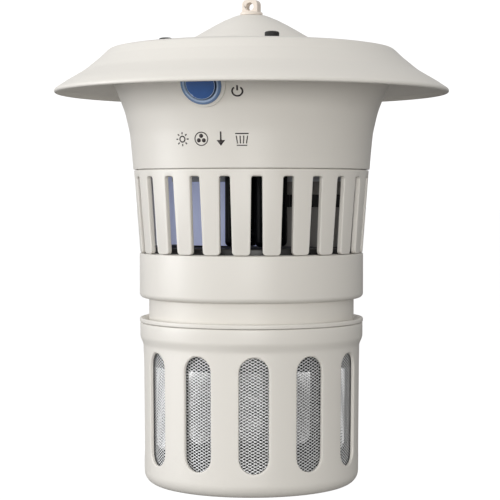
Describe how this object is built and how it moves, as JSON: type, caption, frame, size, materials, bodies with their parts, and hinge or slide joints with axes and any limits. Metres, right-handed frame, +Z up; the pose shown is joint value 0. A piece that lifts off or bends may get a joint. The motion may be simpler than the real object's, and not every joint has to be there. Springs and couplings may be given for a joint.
{
  "type": "electric bug zapper",
  "caption": "Hanging suction-fan insect trap with a blacklight lamp behind slots, a rain canopy, a push-button and a round mesh catch basket.",
  "frame": {"origin": "centre of the catch basket's flat base, on the surface that the trap stands on", "axes": "+Z up along the trap's axis, -Y towards the front with the push-button, +X to the right seen from the front"},
  "size_m": [0.25, 0.25, 0.3062],
  "materials": {
    "ivory_shell": "satin moulded ivory plastic",
    "eye_cream": "satin moulded cream plastic",
    "plug_rubber": "matt black rubber",
    "black_plastic": "satin black plastic",
    "bright_steel": "plated steel",
    "blue_bezel": "clear-coated pale blue plastic",
    "blue_button": "glossy deep blue plastic",
    "uv_glass": "blacklight filter glass, nearly opaque",
    "lavender_plate": "pale lavender coating on sheet metal",
    "grey_plate": "dark grey coating on sheet metal",
    "rail_grey": "grey moulded plastic",
    "board_green": "green solder mask",
    "winding_copper": "enamelled copper winding",
    "wire_mesh": "bright expanded metal",
    "lead_black": "black lead sleeve"
  },
  "bodies": {
    "housing": {"dome_cap": "ivory_shell", "rain_canopy": "ivory_shell", "head_housing": "ivory_shell", "circuit_tray": "ivory_shell", "grille_ring": "ivory_shell", "fan_housing": "ivory_shell", "hanging_eye": "eye_cream", "canopy_plug_1": "plug_rubber", "canopy_plug_2": "plug_rubber", "canopy_plug_3": "plug_rubber", "canopy_plug_4": "plug_rubber", "eye_nut": "bright_steel", "hanger_bar": "bright_steel", "hanger_screw_left": "bright_steel", "hanger_screw_right": "bright_steel", "canopy_screw_1": "bright_steel", "canopy_screw_2": "bright_steel", "canopy_screw_3": "bright_steel", "canopy_screw_4": "bright_steel", "tray_screw_1": "bright_steel", "tray_screw_2": "bright_steel", "socket_bracket": "bright_steel", "fan_screw_1": "bright_steel", "fan_screw_2": "bright_steel", "fan_screw_3": "bright_steel", "fan_screw_4": "bright_steel", "shutter_pin": "bright_steel", "flap_spring": "bright_steel", "inlet_pin_left": "bright_steel", "inlet_pin_right": "bright_steel", "switch_bezel": "blue_bezel", "switch_body": "black_plastic", "power_inlet": "black_plastic", "power_module": "black_plastic", "board_capacitor": "black_plastic", "lamp_socket": "black_plastic", "lamp_base": "black_plastic", "lamp_clamp": "black_plastic", "fan_frame": "black_plastic", "fan_guard": "black_plastic", "lamp_tube_front": "uv_glass", "lamp_tube_rear": "uv_glass", "lure_plate_left": "lavender_plate", "lure_plate_right": "grey_plate", "plate_rail": "rail_grey", "driver_board": "board_green", "board_transformer": "winding_copper", "fan_motor": "winding_copper", "inlet_lead": "lead_black", "switch_lead": "lead_black", "lamp_lead": "lead_black"},
    "fan_rotor": {"fan_rotor": "black_plastic", "motor_shaft": "bright_steel"},
    "push_button": {"push_button": "blue_button"},
    "flap_front": {"flap_front": "ivory_shell"},
    "flap_rear": {"flap_rear": "ivory_shell"},
    "lock_ring": {"lock_ring": "ivory_shell"},
    "catch_basket": {"basket_shell": "ivory_shell", "mesh_liner": "wire_mesh"}
  },
  "joints": [
    {"name": "fan_spin", "type": "hinge", "parent": "housing", "child": "fan_rotor", "pos_m": [0, 0, 0.1356], "axis": [0, 0, 1], "continuous": true},
    {"name": "button_press", "type": "slide", "parent": "housing", "child": "push_button", "axis": [0, 0.9298, 0.3681], "range_m": [0, 0.0025], "stiffness_N_per_m": 400, "springref_m": -0.002},
    {"name": "flap_front_open", "type": "hinge", "parent": "housing", "child": "flap_front", "pos_m": [0, 0, 0.0785], "axis": [1, 0, 0], "range_deg": [0, 75], "stiffness_Nm_per_rad": 0.004, "springref_deg": -40.11},
    {"name": "flap_rear_open", "type": "hinge", "parent": "housing", "child": "flap_rear", "pos_m": [0, 0, 0.0785], "axis": [-1, 0, 0], "range_deg": [0, 75], "stiffness_Nm_per_rad": 0.004, "springref_deg": -40.11},
    {"name": "ring_twist", "type": "hinge", "parent": "housing", "child": "lock_ring", "pos_m": [0, 0, 0.1], "axis": [0, 0, 1], "range_deg": [0, 25]},
    {"name": "basket_drop", "type": "slide", "parent": "lock_ring", "child": "catch_basket", "axis": [0, 0, -1], "range_m": [0, 0.12]}
  ]
}
